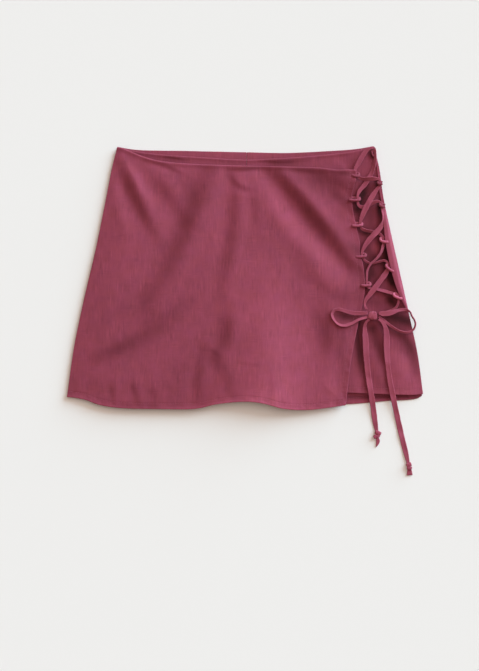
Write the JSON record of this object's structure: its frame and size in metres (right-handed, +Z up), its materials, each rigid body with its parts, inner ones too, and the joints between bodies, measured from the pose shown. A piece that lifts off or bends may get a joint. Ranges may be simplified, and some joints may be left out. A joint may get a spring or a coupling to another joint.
{
  "type": "skort",
  "caption": "Deep raspberry linen mini skort laid flat, with a front overlay laced along its open side in zigzag and tied in a bow.",
  "frame": {"origin": "on the surface that the skort lies on, under the middle of its bounding box without the lace, bow and tails", "axes": "+X to the right across the front as the picture shows it, +Y to the waist, +Z up from the surface"},
  "size_m": [0.5057, 0.4689, 0.0179],
  "materials": {
    "overlay_linen": "matte",
    "shorts_linen": "matte",
    "lace_linen": "matte"
  },
  "bodies": {
    "root": {"back_left": "shorts_linen", "back_right": "shorts_linen", "front_left": "shorts_linen", "front_right": "shorts_linen", "overlay": "overlay_linen", "side_placket": "overlay_linen", "loop_left_1": "overlay_linen", "loop_left_2": "overlay_linen", "loop_left_3": "overlay_linen", "loop_left_4": "overlay_linen", "loop_left_5": "overlay_linen", "loop_right_1": "overlay_linen", "loop_right_2": "overlay_linen", "loop_right_3": "overlay_linen", "loop_right_4": "overlay_linen", "loop_right_5": "overlay_linen", "loop_corner": "overlay_linen", "lace_a": "lace_linen", "lace_b": "lace_linen", "bow_loop_left": "lace_linen", "bow_loop_right": "lace_linen", "bow_knot": "lace_linen", "tail_short": "lace_linen", "tail_long": "lace_linen", "end_knot_short": "lace_linen", "end_knot_long": "lace_linen", "tip_short": "lace_linen", "tip_long": "lace_linen"}
  },
  "joints": []
}
